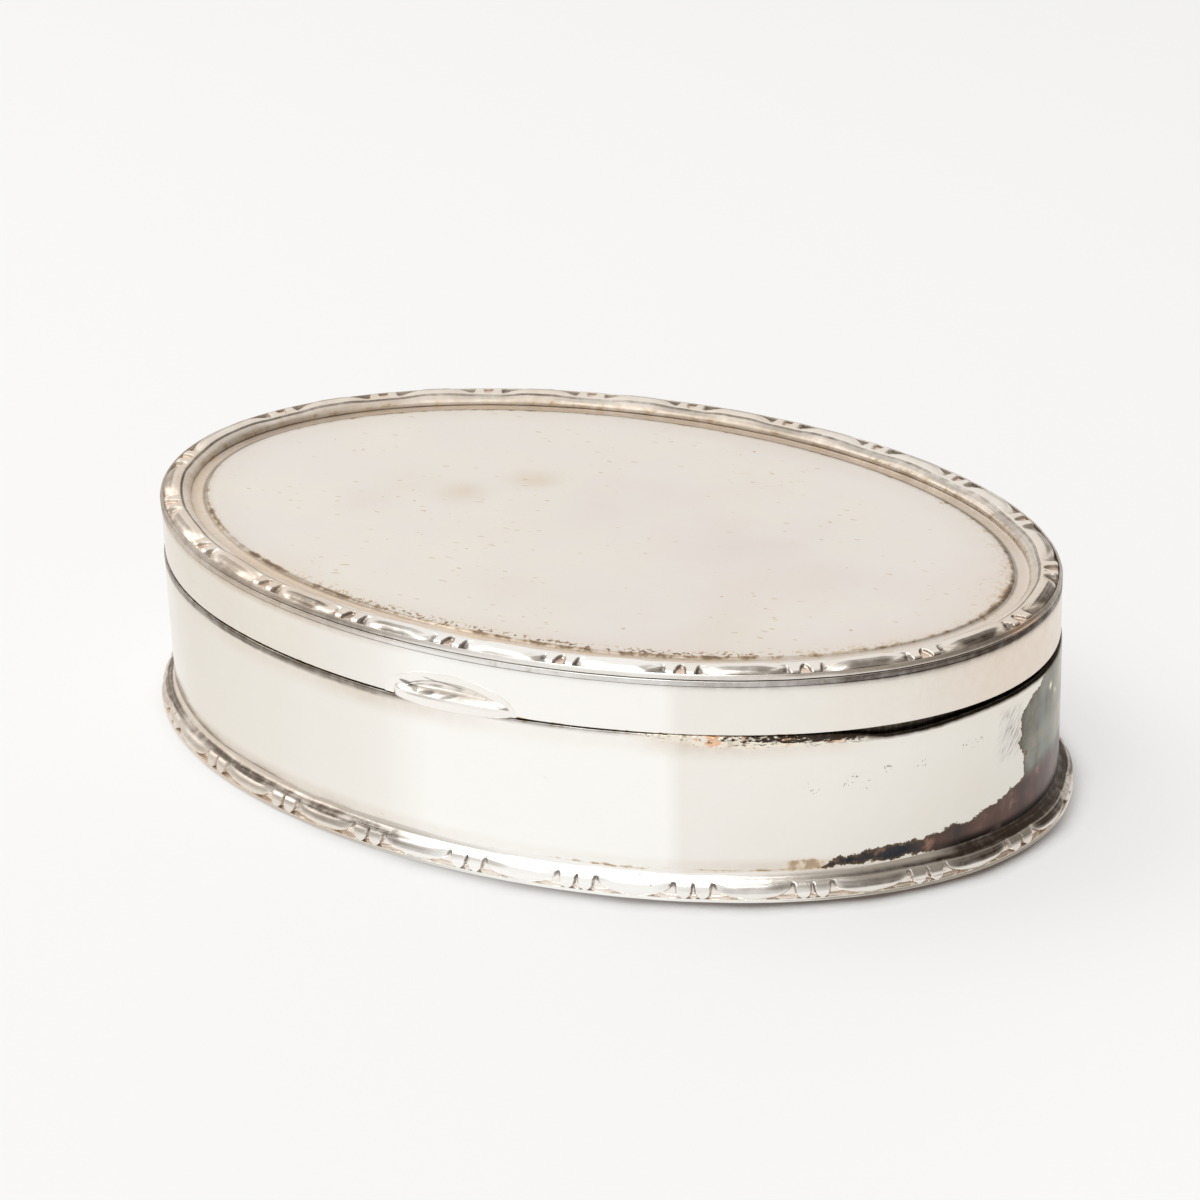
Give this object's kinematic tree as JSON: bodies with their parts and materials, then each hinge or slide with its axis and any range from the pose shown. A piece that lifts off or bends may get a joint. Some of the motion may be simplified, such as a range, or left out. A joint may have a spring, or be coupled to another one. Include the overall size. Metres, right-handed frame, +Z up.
{
  "type": "lidded box",
  "caption": "Low oval silver-plated box with a hinged flat lid, a scooped thumbpiece, and gallery wire of teeth and lozenges round lid and foot.",
  "frame": {"origin": "on the table under the middle of the box", "axes": "+X along the long axis, -Y to the thumbpiece in front, +Z up"},
  "size_m": [0.1004, 0.066, 0.0239],
  "materials": {
    "wall_plate": "worn polished silver plate",
    "lid_plate": "rubbed satin silver plate",
    "border_wire": "polished silver plate with dark pits",
    "inner_plate": "tarnished silver plate",
    "hinge_plate": "dulled silver plate",
    "pin_wire": "drawn wire"
  },
  "bodies": {
    "base": {"base_wall": "wall_plate", "base_floor": "inner_plate", "base_collar": "inner_plate", "foot_border": "border_wire", "base_hinge_bearer": "hinge_plate", "base_knuckle_left": "hinge_plate", "base_knuckle_middle": "hinge_plate", "base_knuckle_right": "hinge_plate", "hinge_pin": "pin_wire"},
    "lid": {"lid_top": "lid_plate", "lid_wall": "wall_plate", "lid_border": "border_wire", "thumbpiece": "wall_plate", "lid_hinge_bearer": "hinge_plate", "lid_knuckle_left": "hinge_plate", "lid_knuckle_right": "hinge_plate"}
  },
  "joints": [
    {"name": "lid_hinge", "type": "hinge", "parent": "base", "child": "lid", "pos_m": [0, 0.0323, 0.017], "axis": [-1, 0, 0], "range_deg": [0, 110]}
  ]
}
